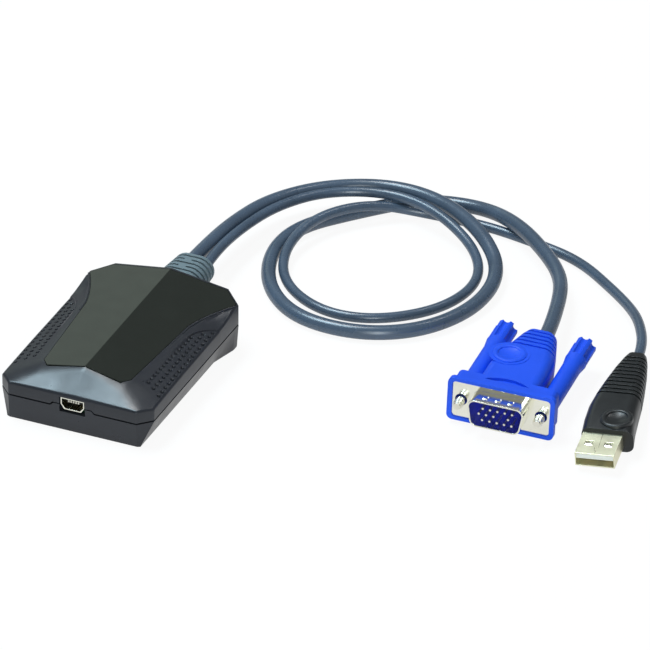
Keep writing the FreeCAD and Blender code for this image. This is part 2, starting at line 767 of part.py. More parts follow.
pad_low = Vec(dim.hood_ring_x, dim.hood_ring_y, pad_top - dim.hood_pad_depth)
hood = hood.fuse(Part.makeCone(dim.hood_pad_foot / 2, dim.hood_pad_diameter / 2, dim.hood_pad_depth, pad_low))
disc, dish = thumb_ring(dim.hood_ring_x, dim.hood_ring_y, pad_top, dim.hood_ring_diameter)
hood = hood.fuse(disc).cut(dish)
scoop_low = dim.hood_height / 2 - dim.hood_scoop_depth
scoop_right = Vec(dim.hood_scoop_half, dim.hood_scoop_front, scoop_low)
scoop_left = Vec(-dim.hood_scoop_half, dim.hood_scoop_front, scoop_low)
scoop_arc = Part.Arc(scoop_right, Vec(0, dim.hood_scoop_rear, scoop_low), scoop_left).toShape()
scoop = Part.Face(Part.Wire([scoop_arc, Part.makeLine(scoop_left, scoop_right)]))
hood = hood.cut(scoop.extrude(Vec(0, 0, dim.rim_height)))
flange = (dim.flange_width / 2, dim.flange_height, dim.flange_round)
hood = hood.cut(slab_round(*flange, -2 * dim.rim_lip, dim.flange_thickness))
hood = hood.cut(dee(dim.dee_skin, 0, dim.insulator_depth))
jackscrew_holes = [
    Part.makeCylinder(dim.jackscrew_hole / 2, 2 * rim_back, Vec(side * dim.jackscrew_half, -rim_back / 2, 0),
                      Vec(0, 1, 0))
    for side in (1, -1)
]
hood = hood.cut(jackscrew_holes).removeSplitter()
piece(shaped("VgaHood", hood), "vga_hood", vga_place)
metal = slab_round(*flange, 0, dim.flange_thickness).fuse(dee(0, -dim.dee_depth, dim.flange_thickness / 2))
bump_half = dim.dee_bump / 2
bump_front = dim.dee_bump_setback - dim.dee_depth
for step in (-1, 0, 1):
    middle = step * dim.dee_bump_pitch
    metal = metal.fuse(bar(middle - bump_half, middle + bump_half, bump_front, bump_front + dim.dee_bump,
                           0, dim.dee_height / 2 + dim.dee_bump_rise))
metal = metal.cut(dee(dim.dee_skin, -2 * dim.dee_depth, dim.dee_depth)).cut(jackscrew_holes)
piece(shaped("VgaShell", metal.removeSplitter()), "vga_shell", vga_place)

pins = []
for row in (1, 0, -1):
    shift = 0.25 if row else -0.25
    for column in (-2, -1, 0, 1, 2):
        if row == 0 and column == 1:
            continue
        pins.append(rod(f"Pin{len(pins)}", "pin_diameter / 2", "pin_reach + pin_root",
                        f"{column + shift} * pin_pitch", "-pin_reach", f"{row} * pin_row", True))
pin_group = fuse("VgaPins", pins)
doc.recompute()
insert = dee(dim.dee_skin, -dim.insulator_front, dim.insulator_depth).cut(pin_group.Shape)
piece(pin_group, "vga_pins", vga_place)
piece(shaped("VgaInsulator", insert), "vga_insulator", vga_place)

# Thumbscrews: a long knob with a fluted end, on a metal stud through the rim
knob_start = "rim_depth + rim_back_depth + knob_gap"
for name, side in (("left", "-1"), ("right", "1")):
    middle = f"{side} * jackscrew_half"
    shaft = rod(f"Shaft_{name}", "knob_diameter / 2", f"knob_end - ({knob_start})", middle, knob_start,
                "0", True)
    grip_end = rod(f"GripEnd_{name}", "knob_grip_diameter / 2", "knob_grip_length", middle,
                   "knob_end - knob_grip_length", "0", True)
    taper = cone(f"Taper_{name}", "knob_diameter / 2", "knob_grip_diameter / 2", "knob_taper_length", middle,
                 "knob_end - knob_grip_length - knob_taper_length", "0")
    bore = rod(f"Bore_{name}", "stud_shank_diameter / 2", f"stud_root - ({knob_start})", middle, knob_start,
               "0", True)
    flute_circle = "(knob_grip_diameter / 2 + flute_diameter / 2 - flute_depth)"
    flutes = []
    for step in range(FLUTES):
        angle = math.radians(90 + step * 360 / FLUTES)
        flutes.append(rod(f"Flute_{name}{step}", "flute_diameter / 2", "knob_grip_length",
                          f"{middle} + {flute_circle} * {math.cos(angle):.5f}",
                          "knob_end - knob_grip_length", f"{flute_circle} * {math.sin(angle):.5f}", True))
    knob = cut(f"Knob_{name}", fuse(f"KnobBlank_{name}", [shaft, taper, grip_end]),
               fuse(f"KnobCuts_{name}", flutes + [bore]))
    piece(knob, f"thumbscrew_knob_{name}", vga_place)
    thread = rod(f"Thread_{name}", "stud_diameter / 2", "stud_thread_length", middle, "-stud_reach", "0", True)
    shank = rod(f"Shank_{name}", "stud_shank_diameter / 2", "stud_reach + stud_root - stud_thread_length",
                middle, "stud_thread_length - stud_reach", "0", True)
    tip = rod(f"StudTip_{name}", "stud_tip_diameter / 2", "stud_tip_length", middle,
              "-stud_reach - stud_tip_length", "0", True)
    piece(fuse(f"Stud_{name}", [thread, shank, tip]), f"thumbscrew_stud_{name}", vga_place)

# Flat USB plug, in its own frame: lower front edge of the shell at the origin
usb_turn = FreeCAD.Rotation(Vec(0, 0, 1), dim.usb_yaw) * FreeCAD.Rotation(Vec(1, 0, 0), dim.usb_tilt)
usb_turn = usb_turn * FreeCAD.Rotation(Vec(0, 1, 0), dim.usb_roll)
usb_place = FreeCAD.Placement(Vec(dim.usb_x, dim.usb_y, dim.usb_z), usb_turn)
plug_tube = block("PlugTube", "plug_width", "plug_length", "plug_height", "-plug_width / 2", "0", "0")
plug_room = block("PlugRoom", "plug_width - 2 * plug_skin", "plug_length", "plug_height - 2 * plug_skin",
                  "plug_skin - plug_width / 2", "0", "plug_skin")
windows = [
    block(f"Window{number}", "plug_window", "plug_window", "plug_height",
          f"{side} * plug_window_x - plug_window / 2", "plug_window_y - plug_window / 2", level)
    for number, (side, level) in enumerate((
        (1, "plug_height / 2"), (-1, "plug_height / 2"), (1, "-plug_height / 2"), (-1, "-plug_height / 2")))
]
piece(cut("UsbShell", plug_tube, fuse("PlugOpenings", [plug_room] + windows)), "usb_shell", usb_place)
tongue_base = "plug_height - plug_skin - plug_tongue_height"
plug_inner = "plug_width - 2 * plug_skin"
tongue = block("TonguePlate", plug_inner, "plug_length - plug_tongue_setback", "plug_tongue_height",
               "plug_skin - plug_width / 2", "plug_tongue_setback", tongue_base)
tongue_root = block("TongueRoot", plug_inner, "plug_length - plug_show", f"{tongue_base} - plug_skin",
                    "plug_skin - plug_width / 2", "plug_show", "plug_skin")
piece(fuse("UsbTongue", [tongue, tongue_root]), "usb_tongue", usb_place)
blades = [
    block(f"Blade{number}", "plug_contact_width", "plug_show - plug_tongue_setback - plug_contact_setback",
          "plug_contact_height", f"{number - 1.5} * plug_contact_pitch - plug_contact_width / 2",
          "plug_tongue_setback + plug_contact_setback", f"{tongue_base} - plug_contact_height")
    for number in range(4)
]
piece(fuse("UsbContacts", blades), "usb_contacts", usb_place)
grip_mid = dim.plug_height / 2
grip_end_y = dim.plug_show + dim.grip_length
grip_sizes = (GRIP_SECTIONS, dim.plug_show, grip_end_y, dim.grip_half, dim.grip_height)
grip = grooved(grip_sizes, grip_mid, dim.grip_groove_first, dim.grip_groove_pitch, GRIP_GROOVES)
disc, dish = thumb_ring(dim.grip_ring_x, dim.grip_ring_y, grip_mid + dim.grip_height / 2,
                        dim.grip_ring_diameter)
grip = grip.fuse(disc).cut(dish)
plug_half = dim.plug_width / 2
grip = grip.cut(bar(-plug_half, plug_half, 0, dim.plug_length, 0, dim.plug_height)).removeSplitter()
piece(shaped("UsbGrip", grip), "usb_grip", usb_place)

# Cords: each leaves the strain relief, makes one turn beside the housing and ends in its plug
CORD_BEND = 0.45
VGA_ROUTE = (
    (-2.9, 66.0, 9.4), (-1.5, 84.0, 8.9), (2.5, 103.5, 8.5), (14.5, 120.5, 8.2), (33.5, 129.5, 8.0),
    (52.5, 126.0, 8.0), (70.5, 113.0, 7.6), (83.0, 98.0, 3.6), (83.5, 77.5, 2.4), (74.0, 58.5, 2.4),
    (57.0, 48.5, 2.4), (35.5, 49.5, 2.4), (20.0, 62.5, 2.4), (11.5, 82.0, 2.4), (12.5, 101.5, 2.4),
    (26.0, 118.0, 2.4), (41.0, 131.0, 2.4), (61.5, 135.5, 2.6), (79.0, 125.0, 5.8), (94.0, 110.5, 6.6),
    (103.0, 98.5, 6.6), (107.9, 85.5, 7.4),
)
USB_ROUTE = (
    (2.6, 65.0, 9.4), (2.5, 83.0, 8.6), (6.5, 101.0, 8.0), (16.5, 116.5, 7.4), (35.5, 123.5, 7.6),
    (53.0, 118.5, 7.4), (71.0, 107.0, 3.8), (78.5, 92.0, 1.7), (73.5, 73.0, 1.7), (57.5, 59.0, 1.7),
    (39.5, 57.5, 1.7), (22.5, 68.5, 2.0), (15.0, 85.0, 4.2), (17.5, 104.0, 6.0), (30.0, 119.0, 5.6),
    (47.5, 125.5, 1.7), (67.0, 125.0, 1.7), (85.0, 121.5, 1.7), (102.0, 117.5, 1.7), (118.5, 104.0, 2.6),
    (129.5, 93.0, 4.4), (136.2, 81.5, 6.8),
)


def cord(name, start, route, place, tail, straight, diameter):
    """Tube of straight runs joined by tangent arcs, square to the boot and to the plug's tail."""
    end = place.multVec(tail)
    before = place.multVec(tail + Vec(0, straight, 0))
    points = [start] + [Vec(*p) for p in route] + [before, end]
    edges = []
    last = points[0]
    tightest = points[0].distanceToPoint(points[-1])
    for left, corner, right in zip(points, points[1:], points[2:]):
        into = (corner - left).normalize()
        out = (right - corner).normalize()
        half_turn = into.getAngle(out) / 2
        trim = CORD_BEND * min(corner.distanceToPoint(left), corner.distanceToPoint(right))
        radius = trim / math.tan(half_turn)
        tightest = min(tightest, radius)
        begin = corner - into * trim
        finish = corner + out * trim
        centre_way = (out - into).normalize()
        middle = corner + centre_way * (math.hypot(radius, trim) - radius)
        edges.append(Part.LineSegment(last, begin).toShape())
        edges.append(Part.Arc(begin, middle, finish).toShape())
        last = finish
    edges.append(Part.LineSegment(last, end).toShape())
    path = Part.Wire(edges)
    ring_wire = Part.Wire(Part.makeCircle(diameter / 2, start, points[1] - start))
    tube = path.makePipeShell([ring_wire], True, False)
    section = math.pi * diameter ** 2 / 4
    print(name, "tightest bend", round(tightest, 1), "length", round(path.Length, 1),
          "volume ratio", round(tube.Volume / (section * path.Length), 4))
    piece(shaped(name, tube), name)


vga_start = Vec(dim.vga_cord_x, boot_end, dim.boot_height_centre)
usb_start = Vec(dim.usb_cord_x, boot_end, dim.boot_height_centre)
usb_tail = Vec(0, grip_end_y, grip_mid)
cord("vga_cord", vga_start, VGA_ROUTE, vga_place, Vec(0, dim.hood_length, 0), dim.vga_tail_run,
     dim.vga_cord_diameter)
cord("usb_cord", usb_start, USB_ROUTE, usb_place, usb_tail, dim.usb_tail_run, dim.usb_cord_diameter)


# Check every object and write one file for each piece
doc.recompute()
for item in doc.Objects:
    if "Invalid" in item.State or "Error" in item.State:
        raise RuntimeError(f"{item.Name} failed: {item.State}")
os.makedirs("parts", exist_ok=True)
for item in parts:
    if item.Shape.isNull() or not item.Shape.isValid():
        raise RuntimeError(f"{item.Label} has no valid shape")
    print(item.Label, len(item.Shape.Solids), round(item.Shape.Volume, 2))
    item.Shape.exportStep(f"parts/{item.Label}.step")
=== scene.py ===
import math

import bpy
import numpy as np
from mathutils import Matrix, Vector


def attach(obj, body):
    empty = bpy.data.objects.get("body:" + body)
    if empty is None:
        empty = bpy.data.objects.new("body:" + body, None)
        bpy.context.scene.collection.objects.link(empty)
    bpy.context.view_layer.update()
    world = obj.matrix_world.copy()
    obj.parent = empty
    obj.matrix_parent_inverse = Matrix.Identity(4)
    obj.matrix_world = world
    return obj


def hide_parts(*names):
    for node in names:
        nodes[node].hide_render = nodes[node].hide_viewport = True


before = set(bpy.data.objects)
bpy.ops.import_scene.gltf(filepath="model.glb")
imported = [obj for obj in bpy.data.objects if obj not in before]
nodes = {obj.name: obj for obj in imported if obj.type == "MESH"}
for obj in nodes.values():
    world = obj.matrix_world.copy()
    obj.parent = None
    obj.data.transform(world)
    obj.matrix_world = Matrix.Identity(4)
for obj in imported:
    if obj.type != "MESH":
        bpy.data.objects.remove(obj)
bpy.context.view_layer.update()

scene = bpy.context.scene
scene.view_settings.view_transform = "Standard"
MM = 0.001

# Camera at the photograph's viewing angle
CAMERA_PLACE = (0.66552, -1.39568, 0.94521)
CAMERA_HEADING = math.radians(23.24)
CAMERA_TILT = math.radians(59.04)
CAMERA_ROLL = math.radians(0.46)
CAMERA_LENS = 332.3
camera_data = bpy.data.cameras.new("Camera")
camera_data.sensor_width = 36.0
camera_data.lens = CAMERA_LENS
camera_data.clip_end = 20.0
camera = bpy.data.objects.new("Camera", camera_data)
scene.collection.objects.link(camera)
camera.matrix_world = (
    Matrix.Translation(CAMERA_PLACE)
    @ Matrix.Rotation(CAMERA_HEADING, 4, "Z")
    @ Matrix.Rotation(CAMERA_TILT, 4, "X")
    @ Matrix.Rotation(CAMERA_ROLL, 4, "Z")
)
scene.camera = camera

# Surfaces: used span of the noise, spread of the gloss, and how sharp an edge must be to get a painted
# highlight
NOISE_LOW = 0.3
NOISE_HIGH = 0.7
GLOSS_SPREAD = 0.12
SHEEN_START = 0.52
SHEEN_FULL = 0.62


def material(name, colour, roughness, metallic=0.0, mottle=0.08, mottle_scale=90.0,
             grain=0.1, grain_scale=2600.0, grain_depth=0.00002, specular=0.5, edge_sheen=0.0):
    """Moulded or plated surface: slight colour drift, uneven gloss and a fine grain."""
    mat = bpy.data.materials.new(name)
    mat.use_nodes = True
    tree = mat.node_tree
    shader = tree.nodes["Principled BSDF"]
    shader.inputs["Metallic"].default_value = metallic
    shader.inputs["Specular IOR Level"].default_value = specular
    place = tree.nodes.new("ShaderNodeTexCoord").outputs["Object"]

    def noise(scale, detail):
        node = tree.nodes.new("ShaderNodeTexNoise")
        node.inputs["Scale"].default_value = scale
        node.inputs["Detail"].default_value = detail
        tree.links.new(place, node.inputs["Vector"])
        return node.outputs["Fac"]

    def spread(source, low, high):
        node = tree.nodes.new("ShaderNodeMapRange")
        node.inputs["From Min"].default_value = NOISE_LOW
        node.inputs["From Max"].default_value = NOISE_HIGH
        node.inputs["To Min"].default_value = low
        node.inputs["To Max"].default_value = high
        tree.links.new(source, node.inputs["Value"])
        return node.outputs["Result"]

    drift = noise(mottle_scale, 4.0)
    ramp = tree.nodes.new("ShaderNodeValToRGB")
    ramp.color_ramp.elements[0].position = NOISE_LOW
    ramp.color_ramp.elements[1].position = NOISE_HIGH
    ramp.color_ramp.elements[0].color = [c * (1 - mottle) for c in colour] + [1.0]
    ramp.color_ramp.elements[1].color = [min(1.0, c * (1 + mottle)) for c in colour] + [1.0]
    tree.links.new(drift, ramp.inputs["Fac"])
    base = ramp.outputs["Color"]
    # Sharp edges are made paler: a painted highlight along them
    if edge_sheen:
        edge = tree.nodes.new("ShaderNodeNewGeometry").outputs["Pointiness"]
        mask = tree.nodes.new("ShaderNodeMapRange")
        mask.inputs["From Min"].default_value = SHEEN_START
        mask.inputs["From Max"].default_value = SHEEN_FULL
        mask.inputs["To Max"].default_value = edge_sheen
        tree.links.new(edge, mask.inputs["Value"])
        paler = tree.nodes.new("ShaderNodeMix")
        paler.data_type = "RGBA"
        paler.inputs["B"].default_value = [min(1.0, 1.6 * c + 0.03) for c in colour] + [1.0]
        tree.links.new(mask.outputs["Result"], paler.inputs["Factor"])
        tree.links.new(base, paler.inputs["A"])
        base = paler.outputs["Result"]
    tree.links.new(base, shader.inputs["Base Color"])
    gloss_noise = noise(mottle_scale * 2.3, 3.0)
    gloss = spread(gloss_noise, roughness * (1 - GLOSS_SPREAD), roughness * (1 + GLOSS_SPREAD))
    tree.links.new(gloss, shader.inputs["Roughness"])
    bump = tree.nodes.new("ShaderNodeBump")
    bump.inputs["Strength"].default_value = grain
    bump.inputs["Distance"].default_value = grain_depth
    tree.links.new(noise(grain_scale, 2.0), bump.inputs["Height"])
    tree.links.new(bump.outputs["Normal"], shader.inputs["Normal"])
    return mat


# The housing, blue hood and grip carry a painted highlight along their sharp edges
housing_mat = material("HousingPlastic", (0.018, 0.020, 0.026), 0.31, grain=0.25, edge_sheen=0.25)
panel_mat = material("PanelSatin", (0.013, 0.016, 0.012), 0.2, mottle=0.05, grain=0.06)
boot_mat = material("BootRubber", (0.155, 0.210, 0.235), 0.5, grain=0.3, grain_scale=1800.0)
cord_mat = material("CordJacket", (0.062, 0.093, 0.138), 0.28, specular=0.7, mottle=0.12, grain=0.08,
                    grain_scale=1500.0)
blue_mat = material("BluePlastic", (0.0075, 0.086, 0.80), 0.45, specular=0.35, mottle=0.05, grain=0.2,
                    edge_sheen=0.2)
insert_mat = material("DarkBlueInsert", (0.0075, 0.0125, 0.30), 0.5, specular=0.2, grain=0.1)
nickel_mat = material("NickelPlate", (0.97, 0.96, 0.84), 0.17, metallic=1.0, mottle=0.04, grain=0.03)
shell_mat = material("BrushedSteel", (0.96, 0.94, 0.70), 0.42, metallic=1.0, mottle=0.04, grain=0.03)
pin_mat = material("PinPlate", (0.85, 0.83, 0.72), 0.3, metallic=1.0, grain=0.03)
contact_mat = material("GoldContact", (0.83, 0.70, 0.42), 0.3, metallic=1.0, grain=0.03)
grip_mat = material("GripRubber", (0.012, 0.014, 0.015), 0.34, grain=0.25, edge_sheen=0.2)
white_mat = material("PlugInsert", (0.80, 0.80, 0.73), 0.5, grain=0.1)
black_mat = material("BlackInsert", (0.010, 0.010, 0.012), 0.45, grain=0.1)
steel_mat = material("ScrewSteel", (0.42, 0.42, 0.43), 0.35, metallic=1.0, grain=0.05)
board_mat = material("BoardMask", (0.008, 0.045, 0.018), 0.35, grain=0.1)
chip_mat = material("ChipEpoxy", (0.014, 0.014, 0.014), 0.6, grain=0.2)
can_mat = material("AluminiumCan", (0.68, 0.68, 0.69), 0.3, metallic=1.0, grain=0.04)
header_mat = material("HeaderNylon", (0.72, 0.70, 0.62), 0.5, grain=0.1)
lead_mat = material("LeadJacket", (0.03, 0.03, 0.034), 0.5, grain=0.1)
# Dark steel for the shell's seam line: painted shade in its crack
seam_shade_mat = material("SeamShade", (0.34, 0.33, 0.20), 0.5, metallic=1.0, grain=0.03)

NODE_LOOKS = {
    "top_panel": panel_mat, "bottom_case": housing_mat, "cable_boot": boot_mat, "vga_hood": blue_mat,
    "thumbscrew_knob_left": blue_mat, "thumbscrew_knob_right": blue_mat, "vga_insulator": insert_mat,
    "vga_shell": nickel_mat, "thumbscrew_stud_left": pin_mat, "thumbscrew_stud_right": pin_mat,
    "vga_pins": pin_mat, "usb_grip": grip_mat, "usb_shell": shell_mat, "usb_tongue": white_mat,
    "usb_contacts": contact_mat, "mini_usb_shell": nickel_mat, "mini_usb_tongue": black_mat,
    "mini_usb_contacts": contact_mat, "case_screws": steel_mat, "circuit_board": board_mat,
    "main_chip": chip_mat, "memory_chip": chip_mat, "crystal": can_mat, "capacitors": can_mat,
    "vga_header": header_mat, "usb_header": header_mat, "vga_leads": lead_mat, "usb_leads": lead_mat,
    "top_cover": housing_mat, "vga_cord": cord_mat, "usb_cord": cord_mat,
}
for name, look in NODE_LOOKS.items():
    nodes[name].data.materials.clear()
    nodes[name].data.materials.append(look)

# Rounded edges: radius in millimetres on each piece
EDGE_WIDTHS = {
    "bottom_case": 0.45, "vga_shell": 0.15, "usb_shell": 0.16, "mini_usb_shell": 0.06, "vga_hood": 0.16,
    "usb_grip": 0.16, "thumbscrew_knob_left": 0.3, "thumbscrew_knob_right": 0.3, "thumbscrew_stud_left": 0.2,
    "thumbscrew_stud_right": 0.2,
}
PANEL_EDGE = 0.18
PANEL_EDGE_ANGLE = 8.0
SAME_POINT = 0.005
FLAT_ANGLE = 0.6
BEVEL_STEPS = 3


def soften(name, width, angle=25.0):
    """Round the edges of a CAD piece with modifiers."""
    piece = nodes[name]
    weld = piece.modifiers.new("Weld", "WELD")
    weld.merge_threshold = SAME_POINT * MM
    flat = piece.modifiers.new("Flat", "DECIMATE")
    flat.decimate_type = "DISSOLVE"
    flat.angle_limit = math.radians(FLAT_ANGLE)
    bevel = piece.modifiers.new("Bevel", "BEVEL")
    bevel.width = width * MM
    bevel.segments = BEVEL_STEPS
    bevel.limit_method = "ANGLE"
    bevel.angle_limit = math.radians(angle)
    level = piece.modifiers.new("Normals", "WEIGHTED_NORMAL")
    level.weight = 100
    for face in piece.data.polygons:
        face.use_smooth = True


soften("top_panel", PANEL_EDGE, PANEL_EDGE_ANGLE)
for name, width in EDGE_WIDTHS.items():
    soften(name, width)


# Cords: one smooth line each along the route's points
VGA_ROUTE = (
    (-2.9, 53.8, 9.4), (-2.6, 66.0, 9.4), (-1.6, 84.0, 8.6), (2.4, 103.1, 7.6), (14.4, 120.0, 6.8),
    (33.5, 128.6, 7.0), (52.3, 125.6, 7.4), (70.8, 113.0, 7.2), (83.2, 98.2, 3.6), (83.9, 77.5, 2.4),
    (74.3, 57.9, 2.4), (57.0, 47.6, 2.4), (35.5, 48.6, 2.4), (20.0, 62.0, 2.4), (12.1, 82.0, 2.4),
    (13.8, 100.4, 2.3), (27.2, 116.6, 2.3), (41.0, 131.0, 2.3), (61.5, 134.8, 2.7), (78.8, 123.6, 6.3),
    (94.2, 109.3, 6.5), (103.0, 98.2, 6.4), (107.9, 85.2, 7.2), (112.87, 62.9, 7.85), (113.35, 55.42, 7.85),
)
USB_ROUTE = (
    (2.6, 53.8, 9.4), (1.8, 63.5, 10.0), (2.4, 83.0, 8.6), (6.5, 101.0, 8.0), (16.5, 116.3, 7.4),
    (35.5, 123.5, 7.6), (53.2, 119.1, 7.4), (71.4, 107.4, 3.8), (78.6, 92.0, 1.7), (73.8, 72.3, 1.7),
    (57.5, 57.8, 1.7), (39.5, 56.3, 1.7), (22.3, 67.8, 2.0), (16.0, 85.0, 4.2), (19.3, 103.2, 6.2),
    (31.8, 117.4, 6.0), (47.5, 125.4, 1.7), (67.0, 125.8, 1.7), (85.0, 122.3, 1.7), (102.0, 117.4, 1.7),
    (118.2, 103.7, 2.6), (128.7, 92.4, 4.4), (135.7, 81.2, 6.7), (141.46, 68.23, 7.7), (142.46, 60.81, 7.26),
)


def tube(name, points, radius, look, steps_along, steps_round):
    """Round bar along one smooth line."""
    curve = bpy.data.curves.new(name, "CURVE")
    curve.dimensions = "3D"
    spline = curve.splines.new("NURBS")
    spline.points.add(len(points) - 1)
    for point, place in zip(spline.points, points):
        point.co = [value * MM for value in place] + [1.0]
    spline.order_u = 3
    spline.use_endpoint_u = True
    spline.resolution_u = steps_along
    curve.bevel_depth = radius * MM
    curve.bevel_resolution = steps_round
    curve.materials.append(look)
    piece = bpy.data.objects.new(name, curve)
    scene.collection.objects.link(piece)
    return piece


def cord(name, node, route, diameter):
    piece = tube(name, route, diameter / 2, cord_mat, steps_along=10, steps_round=8)
    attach(piece, "adapter")
    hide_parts(node)


# Housing's plan in millimetres; the corners are chamfered at 45 degrees
OUT_HALF = 25.0
OUT_FRONT = -35.5
OUT_REAR = 35.5
FRONT_FACE_HALF = 21.0
REAR_FACE_HALF = 19.0
PARTING = 7.8
EDGE_ROUND = 0.7

# Roof: a ridge that rises by 1 mm along the panel, and its fall to both sides
RIDGE_HEIGHT = 17.9
RIDGE_FRONT = -26.3
RIDGE_LENGTH = 61.8
ROOF_FALL = 0.15

# Panel: its half width grows slowly to the waist and is swept outward behind it, with a ledge beside it
WAIST_Y = 10.2
WAIST_HALF = 17.0
WAIST_FLARE = 2.6 / 34.8
SWEEP_REAR = 28.2
PANEL_REAR_HALF = 24.4
PANEL_SWEEP = np.polyfit((WAIST_Y, 19.5, SWEEP_REAR), (WAIST_HALF, 20.05, PANEL_REAR_HALF), 2)
PANEL_MARGIN = 0.35
PANEL_SEAT_DEPTH = 1.2
LEDGE_START = -0.25
LEDGE_WIDTH = 0.45
LEDGE_SLOPE = 0.45

# Front bevel: flatter toward the sides
BEVEL_FOOT = 12.3
BEVEL_SLOPE = 0.6087
BEVEL_SLOPE_LOSS = 0.2987
BEVEL_BLEND = 1.1
BEVEL_BLEND_GROWTH = 0.05

# Thumb recess: outer edge, slope up to the panel, hollow behind the waist and rise at the rear corner
RECESS_EDGE = 12.2
RECESS_FRONT = -31.5
RECESS_RISE = 1.9 / 61.0
RECESS_SLOPE = 0.316
RECESS_REAR = 28.6
HOLLOW_DEPTH = 0.35
CORNER_RISE = 1.2

# Pitted field in the recess; a row of pits is its first pit, its drift outward, its pitch and its count
FIELD_INNER = 19.0
FIELD_INNER_REAR = 5.0
FIELD_BOW = 4.7
FIELD_BOW_LOSS = 0.12
FIELD_EDGE = 17.6
FIELD_EDGE_Y = -22.0
FIELD_EDGE_DRIFT = 0.052
FIELD_DEPTH = 0.32
FIELD_STEP = 0.6
PIT_RADIUS = 0.62
PIT_DEPTH = 0.9
PIT_WALL = 0.3
PIT_ROWS = (
    (18.7, -21.85, 0.037, 2.01, 15),
    (21.1, -23.3, 0.021, 2.24, 16),
    (23.6, -25.2, 0.004, 2.39, 17),
)


def smooth_min(a, b, width):
    share = np.clip(0.5 + 0.5 * (b - a) / width, 0.0, 1.0)
    return b + (a - b) * share - width * share * (1.0 - share)


def ease(value, low, high):
    share = np.clip((value - low) / (high - low), 0.0, 1.0)
    return share * share * (3.0 - 2.0 * share)


def roof_height(x, y):
    return RIDGE_HEIGHT + (y - RIDGE_FRONT) / RIDGE_LENGTH - ROOF_FALL * np.abs(x)


def half_outline(y):
    """Half width of the housing, with its chamfered corners."""
    front = FRONT_FACE_HALF + (y - OUT_FRONT)
    rear = REAR_FACE_HALF + (OUT_REAR - y)
    return np.minimum(OUT_HALF, np.minimum(front, rear))


def edge_distance(x, y):
    """Distance to the nearest edge of the plan."""
    front_corner = (FRONT_FACE_HALF - OUT_FRONT - np.abs(x) + y) / math.sqrt(2.0)
    rear_corner = (REAR_FACE_HALF + OUT_REAR - np.abs(x) - y) / math.sqrt(2.0)
    straight = np.minimum(np.minimum(y - OUT_FRONT, OUT_REAR - y), OUT_HALF - np.abs(x))
    return np.clip(np.minimum(straight, np.minimum(front_corner, rear_corner)), 0.0, None)


def panel_side(y):
    """Right edge of the panel: straight along the middle, swept outward near the rear."""
    straight = WAIST_HALF + (y - WAIST_Y) * WAIST_FLARE
    return np.where(y < WAIST_Y, straight, np.polyval(PANEL_SWEEP, y))


def recess_height(x, y):
    """Thumb recess: slopes up to the panel, and its outer edge rises to the panel's rear corner."""
    side = np.abs(x)
    slope = RECESS_EDGE + RECESS_RISE * (y - RECESS_FRONT) + RECESS_SLOPE * (OUT_HALF - side)
    hollow = HOLLOW_DEPTH * ease(y, 8.0, 22.0) * ease(side - panel_side(y), 0.0, 3.0)
    corner = CORNER_RISE * ease(y, 15.0, 28.4) * ease(side, 20.0, OUT_HALF)
    return slope - hollow + corner


def field_rear(x):
    """Rear edge of the pitted field, bowed to the rear."""
    along = np.clip(x - FIELD_INNER, 0.0, None)
    return FIELD_INNER_REAR + FIELD_BOW * np.sqrt(along) - FIELD_BOW_LOSS * along


def dimples(x, y):
    """Three fanned rows of round pits in a field that sinks toward its rear edge."""
    from_edge = x - FIELD_EDGE - FIELD_EDGE_DRIFT * (y - FIELD_EDGE_Y)
    sunk = ease(from_edge, -0.5, 0.5) * ease(y, -16.0, 9.0)
    depth = FIELD_DEPTH * sunk * np.clip((field_rear(x) - y) / FIELD_STEP, 0.0, 1.0)
    for row_x, row_y, drift, pitch, pits in PIT_ROWS:
        step = np.clip(np.round((y - row_y) / pitch), 0, pits - 1)
        centre_y = row_y + pitch * step
        gap = np.hypot(x - row_x - drift * (centre_y - row_y), y - centre_y)
        depth = depth + PIT_DEPTH * ease(PIT_RADIUS - gap, 0.0, PIT_WALL)
    return depth


def cover_height(x, y):
    """Top of the cover: roof, recesses with their pits, front bevel and a rounded outer edge."""
    side = np.abs(x)
    bevel = BEVEL_FOOT + (BEVEL_SLOPE - BEVEL_SLOPE_LOSS * side / OUT_HALF) * (y - OUT_FRONT)
    beyond = side - panel_side(y) - PANEL_MARGIN
    inside = ease(beyond, 0.1, 1.0) * ease(RECESS_REAR - y, 0.0, 0.8)
    roof = roof_height(x, y)
    top = roof + (np.minimum(recess_height(x, y), roof) - roof) * inside
    top = top - LEDGE_SLOPE * np.clip(beyond - LEDGE_START, 0.0, LEDGE_WIDTH) * (1.0 - inside)
    top = smooth_min(top, bevel, BEVEL_BLEND + BEVEL_BLEND_GROWTH * side)
    top = top - dimples(side, y) * (beyond > 0.5)
    drop = EDGE_ROUND - np.minimum(edge_distance(x, y), EDGE_ROUND)
    return top - (EDGE_ROUND - np.sqrt(np.clip(EDGE_ROUND ** 2 - drop ** 2, 0.0, None)))


def mesh_object(name, points, faces, look=None):
    mesh = bpy.data.meshes.new(name)
    mesh.from_pydata([[value * MM for value in point] for point in points], [], faces)
    mesh.update()
    item = bpy.data.objects.new(name, mesh)
    scene.collection.objects.link(item)
    if look:
        mesh.materials.append(look)
    return item


def band(first, second):
    """Faces between two closed rings of point numbers."""
    return [(first[i - 1], first[i], second[i], second[i - 1]) for i in range(len(first))]


def loft(name, parts, look=None):
    """Closed skins in one mesh; a part is a row of rings with equally many points, capped at both ends."""
    points = []
    faces = []
    for rings in parts:
        numbered = []
        for ring in rings:
            numbered.append(range(len(points), len(points) + len(ring)))
            points += ring
        faces.append(tuple(reversed(numbered[0])))
        faces.append(tuple(numbered[-1]))
        for first, second in zip(numbered, numbered[1:]):
            faces += band(first, second)
    return mesh_object(name, points, faces, look)


def prism(name, outline, low_at, high):
    """Upright solid over an outline given counter-clockwise; low_at gives the height of its floor."""
    floor_ring = [(x, y, low_at(x, y)) for x, y in outline]
    top_ring = [(x, y, high) for x, y in outline]
    return loft(name, [[floor_ring, top_ring]])


